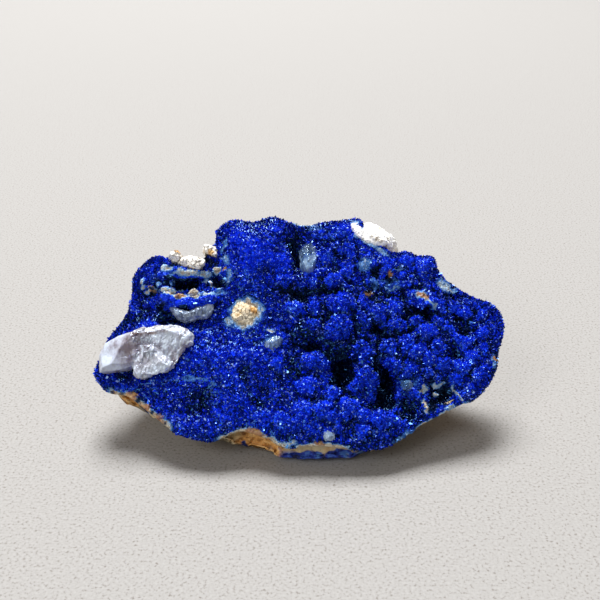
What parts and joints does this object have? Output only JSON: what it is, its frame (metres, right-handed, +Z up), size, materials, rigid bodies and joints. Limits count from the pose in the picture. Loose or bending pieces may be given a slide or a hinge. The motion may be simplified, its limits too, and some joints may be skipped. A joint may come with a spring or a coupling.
{
  "type": "azurite specimen",
  "caption": "Hand-sized rock slab whose slanting upper face is covered by a knobbly blue azurite crust with milky and clear crystals; it rests on a flat underside facet.",
  "frame": {"origin": "centre of the bounding box in plan, at the height of the flat underside facet the specimen rests on", "axes": "+X along the specimen's length, with the large milky crystal at -X; +Y from the low front edge to the high back edge; +Z up"},
  "size_m": [0.071, 0.039, 0.0298],
  "materials": {
    "matrix": "matt, cream rock stained ochre and brown, with black specks",
    "azurite_crust": "deep blue druse of tiny glittering crystals, pale blue where it thins out",
    "large_crystal": "milky white, pinkish brown in the middle, frosted with a few bright facets",
    "ledge_crystal": "bluish grey, translucent, with a glittering broken edge",
    "clear_crystal": "clear to slightly clouded, bluish from the azurite behind it"
  },
  "bodies": {
    "root": {"matrix": "matrix", "azurite_crust": "azurite_crust", "large_crystal": "large_crystal", "ledge_crystal": "ledge_crystal", "blade_crystal": "clear_crystal", "centre_crystal": "clear_crystal", "front_crystal": "clear_crystal", "right_crystal": "clear_crystal"}
  },
  "joints": []
}
